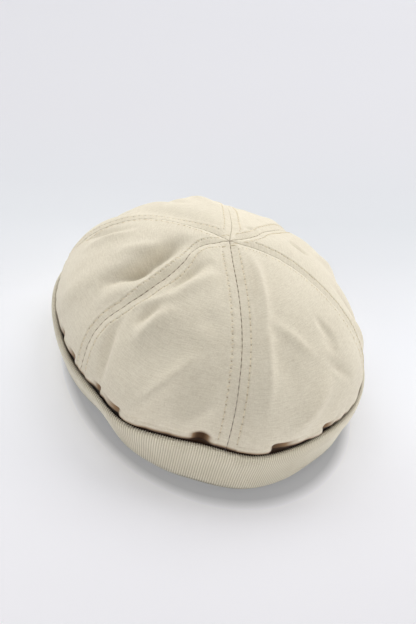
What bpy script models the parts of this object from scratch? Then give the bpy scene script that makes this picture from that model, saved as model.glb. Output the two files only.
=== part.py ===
"""A brimless sailor's cap at rest on its hem: six canvas gores gathered into a turned-up cuff of rib knit.

Metres, +Z up. The cap stands on Z = 0 with its front towards -Y, and the origin lies under the middle of its
box. Every section is cut by a vertical plane through the cap's axis, so a place on it is an angle (degrees
from +X, anticlockwise seen from above), a distance from the axis and a height.
"""

import bmesh
import bpy
import numpy as np

# Knit cuff
CUFF_HALF_WIDTH = 0.0940  # outer face at the top of the turn-up, across the cap
CUFF_HALF_LENGTH = 0.1070  # the same, from front to back
HEM_HALF_WIDTH = 0.0790  # outer face at the fold that the cap stands on
HEM_HALF_LENGTH = 0.1035
CUFF_HEIGHT = 0.0275
KNIT = 0.0036  # the doubled knit of one wall
FOLD_GAP = 0.0008  # between the turn-up and the band inside it
FOLD_FLOOR = 0.0060  # height where the two walls part
BAND_HEIGHT = 0.0170  # top of the band inside, where the crown is sewn on
HEM_ROUND = 0.0022  # rounding of the fold's two lower edges
CUFF_FLARE_POWER = 0.85  # under 1, the turn-up swells out low down

# Canvas crown
CLOTH = 0.0016
CROWN_CLEARANCE = 0.0006  # between the canvas and the turn-up
CROWN_OVERHANG = 0.0010  # how far the crown's widest line stands out over the turn-up's inner face
WIDEST_ABOVE_CUFF = 0.0055  # height of the crown's widest line over the top of the turn-up
CROWN_RISE = 0.0565  # from the widest line up to the top
CROWN_ROUNDNESS = 1.85  # 2 is a true ellipse, and less is a more pointed crown
WIDEST_HEIGHT = CUFF_HEIGHT + WIDEST_ABOVE_CUFF
APEX_OPENING = 0.0009  # radius of the point where the six tips meet
SEAM_GAP = 0.0003
SEAM_DIP = 0.0011  # how far a seam lies below the cloth beside it
SEAM_DIP_WIDTH = 0.0045
SEAM_DIP_START = 0.1  # share of the way down where the dip has its full depth
PANEL_PUFF = 0.0020  # how far the middle of a gore stands out from its seams
PUFF_POWER = 0.8  # under 1, the puff reaches nearer to the gore's top and bottom
FOLD_HEIGHT = 0.0040  # unit of the fold table's height
FOLD_WIDTH = 0.0080  # unit of its width
GATHER_DEPTH = 0.0060  # unit of the pocket table's depth
GATHER_RIPPLE = 0.0006  # small even gathers between the pockets
GATHER_RIPPLE_COUNT = 44
GATHER_RIPPLE_START = 0.80  # share of the way down where they begin
LEVEL_FROM = 0.97  # share of the way down past which no fold stands out over the turn-up

# Mesh steps
CUFF_STEPS = 108
PANEL_COLUMNS = (0.0, 0.04, 0.11, 0.21, 0.32, 0.44, 0.56, 0.68, 0.79, 0.89, 0.96, 1.0)
PANEL_ROWS = 16
ROW_SPREAD = 1.15  # over 1, the rows lie closer together towards the top
TUCK_ROWS = 5
CUFF_FACE_ROWS = (0.12, 0.35, 0.68)  # shares of the turn-up's straight outer face
TOP_ARC = (0, 45, 90, 135, 180)
BAND_ARC = (0, 90, 180)
NORMAL_STEP = 0.01
SHARP_ANGLE = 50

# Plan outline: shares of the ellipse of the named half width and half length
TOP_SHARE = 1
HEM_SHARE = 2
OUTLINE = (
    # angle, share at the turn-up's top, share at the hem
    (0, 0.985, 1.000),
    (30, 0.985, 0.985),
    (60, 0.985, 0.985),
    (90, 0.985, 0.990),
    (120, 0.985, 0.985),
    (150, 0.985, 0.975),
    (165, 0.968, 0.975),
    (182, 0.950, 0.990),
    (200, 0.962, 0.946),
    (217, 0.980, 0.898),
    (233, 1.034, 0.960),
    (246, 0.990, 0.978),
    (258, 0.969, 0.975),
    (272, 1.017, 1.002),
    (285, 0.997, 0.998),
    (298, 0.980, 0.995),
    (318, 0.987, 1.045),
    (336, 0.990, 1.040),
)

# Seams: their angle at five places on the way down from the top, as shares of that way
SEAM_PLACES = (0.10, 0.25, 0.45, 0.70, 1.00)
SEAMS = {
    "right_back": (27, 38.5, 43.5, 44.5, 44.5),
    "back": (72, 74.5, 76, 80, 82),
    "left_back": (129, 131.5, 134, 140.5, 147),
    "left_front": (188, 210, 212, 206.5, 208.5),
    "front": (265.5, 266.5, 266.5, 265, 264),
    "right_front": (346, 342.5, 336, 331, 329),
}

# Each gore lies between two seams, going anticlockwise
PANELS = (
    ("crown_panel_front_left", "left_front", "front"),
    ("crown_panel_front_right", "front", "right_front"),
    ("crown_panel_right", "right_front", "right_back"),
    ("crown_panel_back_right", "right_back", "back"),
    ("crown_panel_back_left", "back", "left_back"),
    ("crown_panel_left", "left_back", "left_front"),
)

# Folds run down the crown, each from an angle and a share of the way down to another such place.
# Width and height are in the units above, and a height under 0 is a valley.
FOLDS = (
    # start angle, start way, end angle, end way, width, height
    (198, 0.06, 197, 0.72, 1.05, -1.40),
    (204, 0.10, 210, 0.62, 0.50, 0.50),
    (157, 0.15, 147, 0.90, 0.45, -0.45),
    (170, 0.12, 156, 0.85, 0.90, 0.60),
    (184, 0.40, 180, 1.05, 1.20, 0.55),
    (232, 0.03, 215, 0.50, 0.55, -0.95),
    (246, 0.10, 226, 0.62, 0.80, 0.65),
    (226, 0.38, 218, 0.72, 0.50, -0.70),
    (234, 0.40, 225, 0.80, 0.65, 0.55),
    (249, 0.50, 237, 0.95, 0.80, 0.35),
    (290, 0.06, 276, 1.00, 0.60, 0.40),
    (281, 0.25, 294, 0.88, 0.75, 0.40),
    (313, 0.22, 310, 0.98, 0.95, -0.80),
    (329, 0.35, 323, 0.95, 0.75, 0.30),
    (26, 0.12, 10, 0.78, 0.95, -0.95),
    (58, 0.05, 60, 0.80, 0.80, -0.85),
    (66, 0.15, 70, 0.85, 1.10, -0.75),
    (48, 0.15, 44, 0.95, 1.30, -0.35),
    (28, 0.25, 2, 1.10, 1.90, -1.05),
    (8, 0.30, -25, 1.20, 2.60, -1.00),
    (99, 0.30, 97, 1.05, 2.20, -0.30),
    (118, 0.25, 122, 1.00, 2.40, -0.60),
    (118, 0.10, 124, 0.55, 0.80, -0.55),
    (145, 0.40, 165, 1.10, 2.60, -0.50),
)

# Pockets where the gathered lower edge draws back from the turn-up
POCKETS = (
    # angle, half width in degrees, depth, reach up as a share of the way down
    (180, 3.0, 0.35, 0.10),
    (190, 3.5, 0.35, 0.12),
    (205, 3.0, 0.40, 0.10),
    (221, 2.2, 0.85, 0.12),
    (229, 4.5, 0.65, 0.09),
    (256, 2.6, 1.00, 0.12),
    (280, 2.0, 0.70, 0.12),
    (289, 5.0, 0.50, 0.08),
    (310, 3.5, 0.40, 0.14),
    (340, 4.0, 0.30, 0.12),
    (8, 3.5, 0.50, 0.12),
    (33, 3.0, 0.45, 0.12),
    (58, 4.0, 0.60, 0.12),
    (82, 3.0, 0.45, 0.10),
    (104, 3.5, 0.65, 0.12),
    (128, 3.0, 0.45, 0.12),
    (155, 3.5, 0.40, 0.12),
)

CANVAS_COLOUR = (0.60, 0.53, 0.42, 1.0)
CANVAS_ROUGHNESS = 0.90
KNIT_COLOUR = (0.46, 0.41, 0.31, 1.0)
KNIT_ROUGHNESS = 0.95


def angle_between(first, second):
    """The signed turn from the second angle to the first, in degrees."""
    return (np.asarray(first, float) - second + 180.0) % 360.0 - 180.0


def outline_share(angle, column):
    """A column of the outline table at any angle, on a smooth closed curve."""
    angles = np.array([row[0] for row in OUTLINE], float)
    values = np.array([row[column] for row in OUTLINE], float)
    count = len(angles)
    where = np.asarray(angle, float) % 360.0
    left = np.searchsorted(angles, where, side="right") - 1
    right = (left + 1) % count
    width = (angles[right] - angles[left]) % 360.0
    along = (where - angles[left]) / width
    apart = (np.roll(angles, -1) - np.roll(angles, 1)) % 360.0
    slopes = (np.roll(values, -1) - np.roll(values, 1)) / apart
    square = along * along
    cube = square * along
    return (
        (2 * cube - 3 * square + 1) * values[left]
        + (cube - 2 * square + along) * width * slopes[left]
        + (3 * square - 2 * cube) * values[right]
        + (cube - square) * width * slopes[right]
    )


def ellipse_radius(angle, half_width, half_length):
    turn = np.radians(angle)
    return 1.0 / np.hypot(np.cos(turn) / half_width, np.sin(turn) / half_length)


def turn_up_radius(angle, height):
    """Distance from the axis to the outer face of the turn-up."""
    top = ellipse_radius(angle, CUFF_HALF_WIDTH, CUFF_HALF_LENGTH) * outline_share(angle, TOP_SHARE)
    hem = ellipse_radius(angle, HEM_HALF_WIDTH, HEM_HALF_LENGTH) * outline_share(angle, HEM_SHARE)
    rise = np.clip(height / CUFF_HEIGHT, 0.0, 1.0) ** CUFF_FLARE_POWER
    return hem + (top - hem) * rise


def seam_angle(name, down):
    """A seam's angle at a share of the way down the crown."""
    return np.interp(down, SEAM_PLACES, SEAMS[name])


def fold_height(angle, down, radius):
    """How far the folds lift the cloth at a place, in metres."""
    total = np.zeros(np.broadcast(angle, down).shape)
    for start, start_way, end, end_way, width, height in FOLDS:
        along = np.clip((down - start_way) / (end_way - start_way), 0.0, 1.0)
        middle = start + (end - start) * along
        across = np.radians(angle_between(angle, middle)) * radius
        bell = np.exp(-((across / (width * FOLD_WIDTH)) ** 2))
        total += height * FOLD_HEIGHT * np.sin(np.pi * along) * bell
    return total


def gather_depth(angle, down):
    """How far the gathers draw the cloth in near the lower edge, in metres."""
    total = np.zeros(np.broadcast(angle, down).shape)
    for middle, half_width, depth, reach in POCKETS:
        across = angle_between(angle, middle) / half_width
        rise = np.clip((down - 1.0 + reach) / reach, 0.0, 1.0)
        total += depth * GATHER_DEPTH * rise * rise * np.exp(-across * across)
    near_edge = np.clip((down - GATHER_RIPPLE_START) / (1.0 - GATHER_RIPPLE_START), 0.0, 1.0)
    ripple = 0.5 - 0.5 * np.cos(np.radians(angle * GATHER_RIPPLE_COUNT))
    return total + GATHER_RIPPLE * ripple * near_edge * near_edge


def crown_radius(angle):
    """Distance from the axis to the widest line of the crown."""
    return turn_up_radius(angle, CUFF_HEIGHT) - KNIT + CROWN_OVERHANG


def turn_up_limit(angle, height):
    """The furthest from the axis that the canvas may reach beside the turn-up."""
    centre_height = CUFF_HEIGHT - KNIT / 2
    keep = KNIT / 2 + CROWN_CLEARANCE
    over = np.clip(height - centre_height, 0.0, keep)
    middle = turn_up_radius(angle, np.minimum(height, centre_height)) - KNIT / 2
    return np.where(height > centre_height + keep, np.inf, middle - np.sqrt(keep**2 - over**2))


def crown_section(angle, down):
    """Distance and height of the plain crown's outer face. Down is 0 at the top, 1 at the widest line and 2
    at the lower edge, which stands over the middle of the band."""
    angle, down = np.broadcast_arrays(np.asarray(angle, float), np.asarray(down, float))
    quarter = np.clip(down, 0.0, 1.0) * np.pi / 2
    power = 2.0 / CROWN_ROUNDNESS
    radius = crown_radius(angle) * np.sin(quarter) ** power
    height = WIDEST_HEIGHT + CROWN_RISE * np.clip(np.cos(quarter), 0.0, 1.0) ** power
    tuck = np.clip(down - 1.0, 0.0, 1.0)
    lower_edge = BAND_HEIGHT + SEAM_GAP
    tuck_height = WIDEST_HEIGHT + (lower_edge - WIDEST_HEIGHT) * tuck
    seat = turn_up_radius(angle, lower_edge) - KNIT - FOLD_GAP - (KNIT - CLOTH) / 2
    curl = tuck * tuck
    tuck_radius = np.minimum(
        turn_up_limit(angle, tuck_height),
        crown_radius(angle) + (seat - crown_radius(angle)) * curl,
    )
    radius = np.where(down > 1.0, tuck_radius, radius)
    height = np.where(down > 1.0, tuck_height, height)
    return radius, height


def to_points(angle, radius, height):
    """Points from places given by angle, distance from the axis and height."""
    turn = np.radians(angle)
    return np.stack([radius * np.cos(turn), radius * np.sin(turn), height + 0.0 * turn], axis=-1)


def plain_crown(angle, down):
    return to_points(angle, *crown_section(angle, down))


def crown_normal(angle, down):
    """Outward direction of the plain crown, from short steps along and down it."""
    step = NORMAL_STEP
    above = np.clip(down - step, step / 10, None)
    below = np.clip(down + step, None, 2.0)
    across = plain_crown(angle + step, down) - plain_crown(angle - step, down)
    along = plain_crown(angle, below) - plain_crown(angle, above)
    normal = np.cross(along, across)
    return normal / np.linalg.norm(normal, axis=-1, keepdims=True)


def panel_grid(left, right):
    """Outer and inner faces of a gore between two seams, as grids of points."""
    top = (2 / np.pi) * np.arcsin((APEX_OPENING / crown_radius(0.0)) ** (CROWN_ROUNDNESS / 2))
    crown_rows = np.linspace(0.0, 1.0, PANEL_ROWS + 1) ** ROW_SPREAD
    tuck_rows = 1.0 + np.arange(1, TUCK_ROWS + 1) / TUCK_ROWS
    rows = np.maximum(np.concatenate([crown_rows, tuck_rows]), top)
    down = np.broadcast_to(rows[:, None], (len(rows), len(PANEL_COLUMNS)))
    low_angle = seam_angle(left, rows)
    high_angle = low_angle + (seam_angle(right, rows) - low_angle) % 360.0
    radius, _ = crown_section(low_angle, rows)
    margin = np.degrees(SEAM_GAP / 2 / radius)
    share = np.array(PANEL_COLUMNS)
    angle = (low_angle + margin)[:, None] * (1 - share) + (high_angle - margin)[:, None] * share
    return shaped_crown(angle, down, share, (high_angle - low_angle)[:, None])


def shaped_crown(angle, down, share, sector):
    """Outer and inner faces with the puff, the sunk seams, the folds and the gathers. The share runs from 0
    to 1 across the gore, which is a sector of that many degrees."""
    radius, _ = crown_section(angle, down)
    to_seam = np.radians(np.minimum(share, 1 - share) * sector) * radius
    way = np.clip(down, 0.0, 1.0)
    puff = PANEL_PUFF * np.sin(np.pi * share) * np.sin(np.pi * way).clip(0.0) ** PUFF_POWER
    sunk = np.clip(way / SEAM_DIP_START, 0.0, 1.0)
    dip = SEAM_DIP * np.exp(-((to_seam / SEAM_DIP_WIDTH) ** 2)) * sunk
    below = np.clip(down - 1.0, 0.0, 1.0)
    fade = (1.0 - below) ** 2
    lift = (puff - dip + fold_height(angle, way, radius)) * fade
    lift -= gather_depth(angle, way) * (1.0 - below * below)
    lift = np.where(down > LEVEL_FROM, np.minimum(lift, 0.0), lift)
    normal = crown_normal(angle, down)
    outer = plain_crown(angle, down) + normal * lift[..., None]
    return outer, outer - normal * CLOTH


def mesh_object(name, points, faces, material):
    """One object from points and faces, with its faces turned outwards."""
    mesh = bpy.data.meshes.new(name)
    mesh.from_pydata([tuple(point) for point in points], [], faces)
    work = bmesh.new()
    work.from_mesh(mesh)
    bmesh.ops.recalc_face_normals(work, faces=work.faces)
    work.to_mesh(mesh)
    work.free()
    mesh.shade_smooth()
    mesh.set_sharp_from_angle(angle=np.radians(SHARP_ANGLE))
    mesh.materials.append(material)
    made = bpy.data.objects.new(name, mesh)
    bpy.context.scene.collection.objects.link(made)
    return made


def crown_panel(name, left, right, material, centre):
    """A gore as a closed sheet: its two faces and a rim round them."""
    outer, inner = panel_grid(left, right)
    rows, columns = outer.shape[:2]
    points = np.concatenate([outer.reshape(-1, 3), inner.reshape(-1, 3)]) - centre
    index = np.arange(rows * columns).reshape(rows, columns)
    under = index + rows * columns
    faces = []
    for row in range(rows - 1):
        for column in range(columns - 1):
            corners = [
                index[row, column],
                index[row + 1, column],
                index[row + 1, column + 1],
                index[row, column + 1],
            ]
            faces.append([int(corner) for corner in corners])
            faces.append([int(corner) + rows * columns for corner in reversed(corners)])
    rim = [*index[0], *index[1:, -1], *index[-1, -2::-1], *index[-2:0:-1, 0]]
    rim_under = [*under[0], *under[1:, -1], *under[-1, -2::-1], *under[-2:0:-1, 0]]
    for here in range(len(rim)):
        ahead = (here + 1) % len(rim)
        faces.append([int(corner) for corner in (rim[here], rim[ahead], rim_under[ahead], rim_under[here])])
    return mesh_object(name, points, faces, material)


def cuff_section(angle):
    """The cuff's closed section at an angle, as distances from the axis and heights: up the outer face, over
    the rounded top, down into the fold, over the band and round the hem."""
    half = KNIT / 2
    top = CUFF_HEIGHT - half
    wall = KNIT + FOLD_GAP
    band = BAND_HEIGHT - half
    points = []

    def add(inset, height, along=None):
        points.append((turn_up_radius(angle, height if along is None else along) - inset, height))

    for share in CUFF_FACE_ROWS:
        add(0.0, HEM_ROUND + (top - HEM_ROUND) * share)
    for turn in np.radians(TOP_ARC):
        add(half - half * np.cos(turn), top + half * np.sin(turn), top)
    add(KNIT, (top + FOLD_FLOOR) / 2)
    add(KNIT, FOLD_FLOOR)
    add(wall, FOLD_FLOOR)
    for turn in np.radians(BAND_ARC):
        add(wall + half - half * np.cos(turn), band + half * np.sin(turn), band)
    add(wall + KNIT, FOLD_FLOOR)
    add(wall + KNIT, HEM_ROUND, 0.0)
    add(wall + KNIT - HEM_ROUND, 0.0)
    add(HEM_ROUND, 0.0)
    add(0.0, HEM_ROUND, 0.0)
    return points


def knit_cuff(material, centre):
    """The cuff's section carried round the cap as one closed ring."""
    points = []
    for step in range(CUFF_STEPS):
        angle = 360.0 * step / CUFF_STEPS
        points += [to_points(angle, radius, height) - centre for radius, height in cuff_section(angle)]
    around = len(points) // CUFF_STEPS
    faces = []
    for step in range(CUFF_STEPS):
        ahead = (step + 1) % CUFF_STEPS
        for place in range(around):
            after = (place + 1) % around
            here = step * around
            there = ahead * around
            faces.append([here + place, there + place, there + after, here + after])
    return mesh_object("knit_cuff", points, faces, material)


def outline_centre():
    """Middle of the cap's box in plan, which the turn-up's top sets."""
    angles = np.arange(CUFF_STEPS) * 360.0 / CUFF_STEPS
    ring = to_points(angles, turn_up_radius(angles, CUFF_HEIGHT - KNIT / 2), 0.0)
    middle = (ring.max(axis=0) + ring.min(axis=0)) / 2
    middle[2] = 0.0
    return middle


def cloth_material(name, colour, roughness):
    material = bpy.data.materials.new(name)
    material.use_nodes = True
    shader = material.node_tree.nodes["Principled BSDF"]
    shader.inputs["Base Color"].default_value = colour
    shader.inputs["Roughness"].default_value = roughness
    shader.inputs["Metallic"].default_value = 0.0
    return material


def main():
    for existing in list(bpy.data.objects):
        bpy.data.objects.remove(existing)
    centre = outline_centre()
    for name, left, right in PANELS:
        crown_panel(name, left, right, cloth_material(name, CANVAS_COLOUR, CANVAS_ROUGHNESS), centre)
    knit_cuff(cloth_material("knit_cuff", KNIT_COLOUR, KNIT_ROUGHNESS), centre)


main()
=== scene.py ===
"""The looks of a brimless sailor's cap: topstitched canvas gores over a turned-up cuff of rib knit.

Metres, +Z up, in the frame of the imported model. A place on the cap is an angle round its axis (degrees
from +X, anticlockwise from above), a distance from the axis and a height.
"""

import bpy
import numpy as np
from mathutils import Matrix, Vector, noise


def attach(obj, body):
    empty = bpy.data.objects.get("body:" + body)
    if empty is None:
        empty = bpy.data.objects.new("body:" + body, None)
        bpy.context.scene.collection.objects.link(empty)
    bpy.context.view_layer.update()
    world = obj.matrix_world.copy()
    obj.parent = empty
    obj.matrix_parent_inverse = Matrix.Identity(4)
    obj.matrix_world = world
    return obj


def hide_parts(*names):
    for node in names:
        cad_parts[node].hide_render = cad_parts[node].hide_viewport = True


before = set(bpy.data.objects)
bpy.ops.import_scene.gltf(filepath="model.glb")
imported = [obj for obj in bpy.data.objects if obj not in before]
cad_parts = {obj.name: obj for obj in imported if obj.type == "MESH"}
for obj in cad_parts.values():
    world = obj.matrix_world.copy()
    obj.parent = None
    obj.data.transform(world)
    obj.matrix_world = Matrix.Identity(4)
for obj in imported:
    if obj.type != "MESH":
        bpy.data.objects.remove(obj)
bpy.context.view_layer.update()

# Knit cuff
CUFF_HALF_WIDTH = 0.0940
CUFF_HALF_LENGTH = 0.1070
HEM_HALF_WIDTH = 0.0790
HEM_HALF_LENGTH = 0.1035
CUFF_HEIGHT = 0.0275
KNIT = 0.0036
FOLD_GAP = 0.0008
FOLD_FLOOR = 0.0060
BAND_HEIGHT = 0.0170
HEM_ROUND = 0.0022
CUFF_FLARE_POWER = 0.85
RIB_COUNT = 460
RIB_DEPTH = 0.00032
RIB_DEPTH_AT_TOP = 0.00060
RIB_COLUMNS = (0.0, 0.24, 0.5, 0.76)  # places across one rib, from a groove round to the next
RIBS_EVEN_AT = 0.7  # share of the height where the ribs are evenly spaced
RIBS_AT_HEM = 0.35  # share of their depth that they have at the hem
RIBS_FULL_FROM = 0.25  # share of the height where they have it all
RIBS_DEEPER_FROM = 0.75  # share of the height where they start to deepen towards the top
GROOVE_NARROWNESS = 1.6
SHOULDER_SWELL = 0.0007  # the turn-up is fullest a little below its top
SHOULDER_DROP = 0.0050
COURSE_PITCH = 0.0011  # height of one row of knit loops
FACE_ROWS = 15
TOP_ROWS = 11
BAND_TOP_ROWS = 7
INNER_ROWS = 4
HEM_TURNS = (30, 60)  # degrees round the hem's rounded edges

# Canvas crown
CLOTH = 0.0014
CROWN_CLEARANCE = 0.0006
CROWN_OVERHANG = 0.0010
WIDEST_ABOVE_CUFF = 0.0055
WIDEST_HEIGHT = CUFF_HEIGHT + WIDEST_ABOVE_CUFF
CROWN_RISE = 0.0565
CROWN_ROUNDNESS = 1.85
APEX_OPENING = 0.0006
SEAM_GAP = 0.00010
SEAM_DIP = 0.0008
SEAM_DIP_WIDTH = 0.0045
SEAM_DIP_START = 0.1
PANEL_PUFF = 0.0020
PUFF_POWER = 0.8
FOLD_HEIGHT = 0.0040
FOLD_WIDTH = 0.0080
CREASE_FALL = 0.03  # creases stay on their own side of the crown
LEVEL_FROM = 0.97

# Seams and topstitching
STITCH_OFFSET = 0.0045  # from a seam to its row of topstitches
STITCH_PITCH = 0.0038
STITCH_LENGTH = 0.0031
THREAD = 0.00038
THREAD_SIDES = 6
STITCH_STEPS = 6
STITCH_RISE = 0.00020
STITCH_DIP = 0.00028
NEEDLE_HOLE = 0.00034
BAND_RISE = 0.00025  # the seam allowance under the cloth lifts it this much
BAND_EDGE = 0.0058
BAND_FALL = 0.0016
ROW_DENT = 0.00022
ROW_DENT_WIDTH = 0.0007
EDGE_ROUND = 0.00045
PUCKER = 0.00014
PUCKER_WAVES = (
    # height, waves to a stitch, start
    (1.0, 1 / 2.3, 0.0),
    (0.6, 1 / 3.7, 1.3),
)
PUCKER_PLACE = 0.6 * STITCH_OFFSET  # where it is strongest, between the seam and its row
ROW_CLEAR = 2.2 * STITCH_OFFSET  # a row of stitches starts where its gore is this wide
ROW_CLEAR_THROUGH = 1.0 * STITCH_OFFSET  # and a row that runs through starts here
TIP_CLEAR = 1.25 * STITCH_OFFSET
ROW_END = 1.04  # on the way down

# Fine cloth
WRINKLES = (
    # size, height
    (0.030, 0.00055),
    (0.011, 0.00022),
)
PLEATS = 52  # small pleats round the lower edge
PLEAT_DEPTH = 0.0007
PLEAT_REACH = 0.14
PLEAT_DRIFT = (
    # turns, waves round the cap, start
    (1.6, 3, 1.0),
    (2.2, 7, 0.0),
)
PLEAT_LEVEL = 0.55
PLEAT_WAVES = ((0.45, 5, 0.7),)
THREAD_PITCH = 0.00050
EDGE_ROLL = 0.0014
ROLL_FRONT = 275  # the edge rolls out most here
ROLL_SPREAD = 60
ROLL_LEAST = 0.25
ROLL_RISE = (0.88, 1.10)
ROLL_FALL = (1.19, 1.33)
ROLL_STOPS = (0.0003, 0.0016)  # how deep a pocket is where it takes the roll away
ROLL_WAVES = (
    # height, waves round the cap, start
    (0.25, 11, 0.6),
    (0.20, 17, 2.0),
)
TUCK_SHADE = (1.08, 1.32)  # on the way down, where the tuck is painted with brown shade
POCKET_SHADE = (0.0001, 0.0020)  # and how deep a pocket is where it is painted with the same shade
FOLD_SHADE = 0.0025  # painted shade is full this far below the turn-up's top, inside the fold
FOLD_EDGE_SHADE = 0.6  # how dark the painted shade in the fold is halfway down to there

# Mesh steps
UPPER_ROWS = 92
EDGE_ROWS = 28
EDGE_FROM = 0.85
ROLL_ROWS = 18
ROLL_TO = 1.42
TUCK_ROWS = 6
SEAM_COLUMNS = (0.0, 0.1, 0.25, 0.45, 0.7, 1.1, 1.7, 2.4, 3.1, 3.7, 4.1, 4.5, 4.9, 5.4, 6.0, 6.8, 7.8)  # mm
MIDDLE_COLUMNS = 60
STRIPS_WIDE = 2.6  # a gore narrower than this many seam strips has them squeezed
WAY_STEPS = 600
MILLIMETRE = 0.001

# Plan outline: shares of the ellipse of the named half width and half length
TOP_SHARE = 1
HEM_SHARE = 2
OUTLINE = (
    # angle, share at the turn-up's top, share at the hem
    (0, 0.985, 1.000),
    (30, 0.985, 0.985),
    (60, 0.985, 0.985),
    (90, 0.985, 0.990),
    (120, 0.985, 0.985),
    (150, 0.985, 0.975),
    (165, 0.968, 0.975),
    (182, 0.950, 0.990),
    (200, 0.962, 0.946),
    (217, 0.980, 0.898),
    (233, 1.034, 0.960),
    (246, 0.990, 0.978),
    (258, 0.969, 0.975),
    (272, 1.017, 1.002),
    (285, 0.997, 0.998),
    (298, 0.980, 0.995),
    (318, 0.987, 1.045),
    (336, 0.990, 1.040),
)
OUTLINE_STEPS = 108

# Seams: their angle at five places on the way down from the top, as shares of that way
SEAM_PLACES = (0.10, 0.25, 0.45, 0.70, 1.00)
SEAMS = {
    "right_back": (27, 38.5, 43.5, 44.5, 44.5),
    "back": (72, 74.5, 76, 80, 82),
    "left_back": (129, 131.5, 134, 140.5, 147),
    "left_front": (188, 210, 212, 206.5, 208.5),
    "front": (265.5, 266.5, 266.5, 265, 264),
    "right_front": (346, 342.5, 336, 331, 329),
}
# How openly each seam shows its dark joint, from 0 to 1
SEAM_SHOWS = {
    "right_back": 0.75,
    "back": 0.15,
    "left_back": 0.60,
    "left_front": 1.00,
    "front": 0.95,
    "right_front": 0.45,
}

# Each gore lies between two seams. Its rows of topstitches run through to the far seam at the top where its
# seam is half of the long one that crosses the crown.
GORES = (
    # name, left seam, right seam, left row runs through, right row runs through
    ("front_left", "left_front", "front", True, False),
    ("front_right", "front", "right_front", False, False),
    ("right", "right_front", "right_back", False, True),
    ("back_right", "right_back", "back", True, False),
    ("back_left", "back", "left_back", False, False),
    ("left", "left_back", "left_front", False, True),
)

# Broad folds run down the crown, each from an angle and a share of the way down to another such place. Width
# and height count FOLD_WIDTH and FOLD_HEIGHT, and a height under 0 is a valley.
FOLDS = (
    # start angle, start way, end angle, end way, width, height
    (204, 0.10, 210, 0.62, 0.50, 0.50),
    (184, 0.40, 180, 1.05, 1.20, 0.55),
    (58, 0.05, 60, 0.80, 0.80, -0.60),
    (66, 0.15, 70, 0.85, 1.10, -0.75),
    (48, 0.15, 44, 0.95, 1.30, -0.35),
    (28, 0.25, 2, 1.10, 1.90, -1.05),
    (8, 0.30, -25, 1.20, 2.60, -1.00),
    (99, 0.30, 97, 1.05, 2.20, -0.30),
    (118, 0.25, 122, 1.00, 2.40, -0.60),
    (118, 0.10, 124, 0.55, 0.80, -0.55),
    (145, 0.40, 165, 1.10, 2.60, -0.50),
)

# Sharper creases are straight as seen from above them. A height under 0 is a valley.
CREASES = (
    # start angle, start way, end angle, end way, width in mm, height in mm
    (168, 0.17, 197, 0.51, 5.4, -7.4),
    (198, 0.36, 190, 0.63, 4.5, -4.2),
    (210, 0.41, 197, 0.69, 4.5, 1.7),
    (182, 0.27, 174, 0.54, 5.0, 2.0),
    (233, 0.15, 223, 0.40, 4.0, -3.6),
    (247, 0.20, 226, 0.44, 4.8, 2.3),
    (232, 0.42, 225, 0.66, 4.0, 2.4),
    (229, 0.38, 213, 0.56, 3.0, 1.6),
    (226, 0.44, 221, 0.60, 3.2, -2.0),
    (212, 0.58, 221, 1.02, 3.5, -3.0),
    (243, 0.49, 227, 0.84, 10.0, -2.6),
    (244, 0.43, 258, 0.44, 6.0, -1.0),
    (251, 0.57, 233, 1.14, 4.5, 3.2),
    (262, 0.70, 248, 1.05, 5.0, 3.0),
    (318, 0.10, 279, 0.42, 3.0, 3.0),
    (280, 0.34, 274, 0.84, 3.0, 2.6),
    (280, 0.39, 298, 0.62, 3.6, 1.3),
    (283, 0.49, 285, 0.74, 7.0, -1.0),
    (310, 0.45, 312, 0.62, 3.0, -1.6),
    (307, 0.51, 310, 0.67, 3.5, -0.9),
    (302, 0.63, 314, 0.81, 3.0, -1.8),
    (303, 0.72, 279, 1.02, 5.0, 3.0),
    (153, 0.40, 143, 0.82, 3.0, -2.2),
    (158, 0.39, 156, 0.71, 4.0, 2.0),
    (26, 0.36, 12, 0.44, 4.0, -3.2),
    (22, 0.50, 24, 0.90, 4.5, 1.6),
    (58, 0.18, 42, 0.20, 2.5, -1.2),
    (85, 0.30, 92, 0.95, 4.5, 1.8),
    (104, 0.35, 101, 0.92, 4.0, -2.4),
    (70, 0.55, 64, 0.98, 4.0, 1.6),
    (125, 0.55, 122, 1.00, 4.0, -2.0),
    (355, 0.50, 348, 0.95, 4.5, -2.0),
    (338, 0.60, 342, 0.98, 4.0, 1.6),
)

# Pockets where the gathered lower edge draws back from the turn-up. One that leans is cut off sharply at its
# angle and closes slowly on the side it leans to.
POCKETS = (
    # angle, half width in degrees, depth in mm, reach up as a share of the way down, lean
    (190, 5.0, 1.1, 0.05, -1),
    (203, 6.0, 1.2, 0.05, -1),
    (220, 3.5, 1.2, 0.05, -1),
    (230, 7.0, 1.1, 0.04, -1),
    (256, 2.6, 2.2, 0.08, 0),
    (277.5, 7.0, 1.6, 0.04, 1),
    (297.5, 5.5, 1.3, 0.04, 1),
    (322, 6.0, 1.2, 0.06, 1),
    (342, 2.6, 1.5, 0.06, 0),
    (8, 7.0, 1.6, 0.06, 1),
    (36, 2.2, 1.2, 0.05, 0),
    (55, 6.0, 1.8, 0.06, -1),
    (79, 8.0, 1.0, 0.05, 1),
    (106, 4.0, 1.7, 0.06, 1),
    (131, 2.2, 1.2, 0.06, 0),
    (157, 6.0, 1.3, 0.06, -1),
)
LEAN_CUT = 0.12  # the sharp side's share of a leaning pocket's half width

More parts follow.
